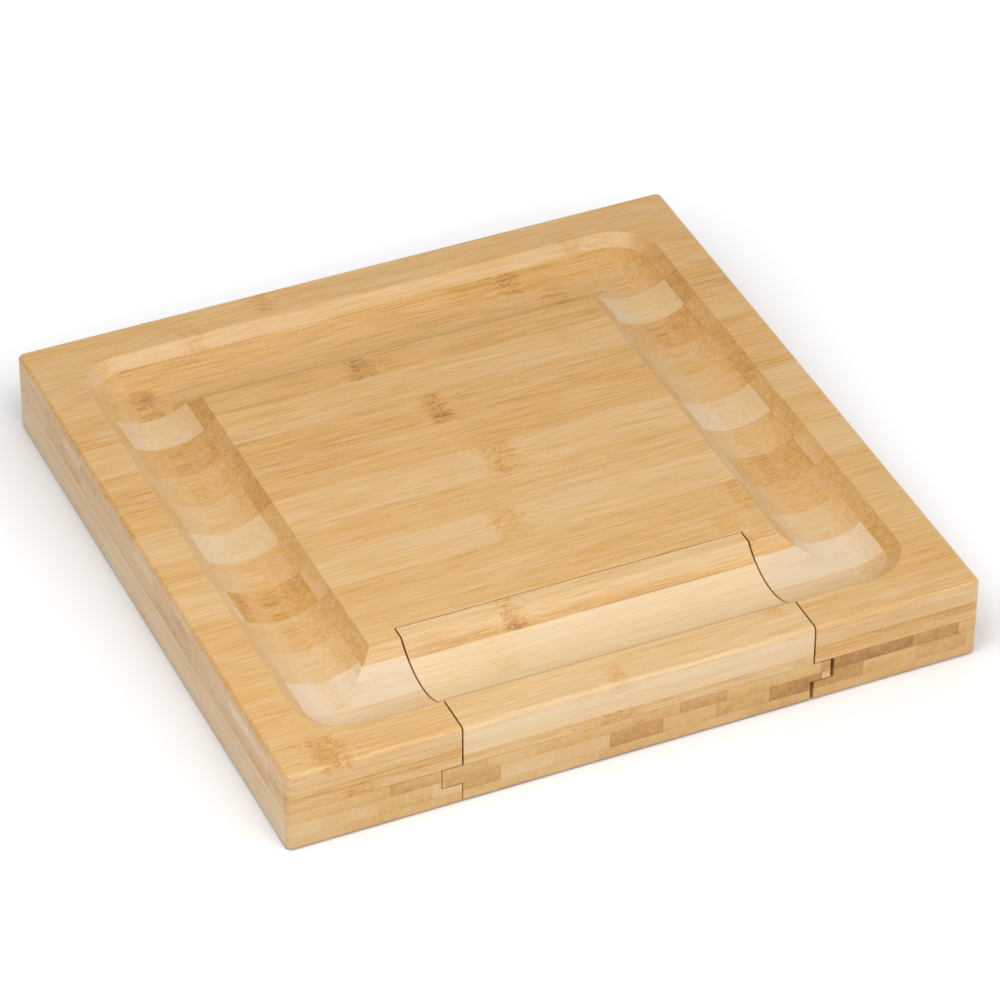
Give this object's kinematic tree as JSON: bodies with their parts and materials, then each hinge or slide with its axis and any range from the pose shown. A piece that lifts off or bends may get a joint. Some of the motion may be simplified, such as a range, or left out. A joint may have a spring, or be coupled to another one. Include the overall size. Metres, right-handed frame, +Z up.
{
  "type": "serving board with drawer",
  "caption": "Square bamboo serving board with a ring of rounded wells and a slide-out drawer with tool slots hidden in its front edge.",
  "frame": {"origin": "centre of the board's underside, on the table", "axes": "+Z up out of the serving face, +X to the right seen from the drawer's side, +Y away from the drawer's side, so the drawer pulls out along -Y"},
  "size_m": [0.305, 0.305, 0.038],
  "materials": {
    "top_bamboo": "oiled pale bamboo, satin",
    "base_bamboo": "oiled bamboo, satin, strips front to back",
    "drawer_bamboo": "oiled light bamboo, satin",
    "dowel_wood": "bare turned beech",
    "magnet_nickel": "nickel plated"
  },
  "bodies": {
    "board": {"top_board": "top_bamboo", "left_rail": "base_bamboo", "right_rail": "base_bamboo", "back_plug": "base_bamboo", "left_plug_magnet": "magnet_nickel", "right_plug_magnet": "magnet_nickel"},
    "drawer": {"drawer_tray": "base_bamboo", "drawer_front": "drawer_bamboo", "stop_dowel": "dowel_wood", "left_tray_magnet": "magnet_nickel", "right_tray_magnet": "magnet_nickel"}
  },
  "joints": [
    {"name": "drawer_slide", "type": "slide", "parent": "board", "child": "drawer", "axis": [0, -1, 0], "range_m": [0, 0.17]}
  ]
}
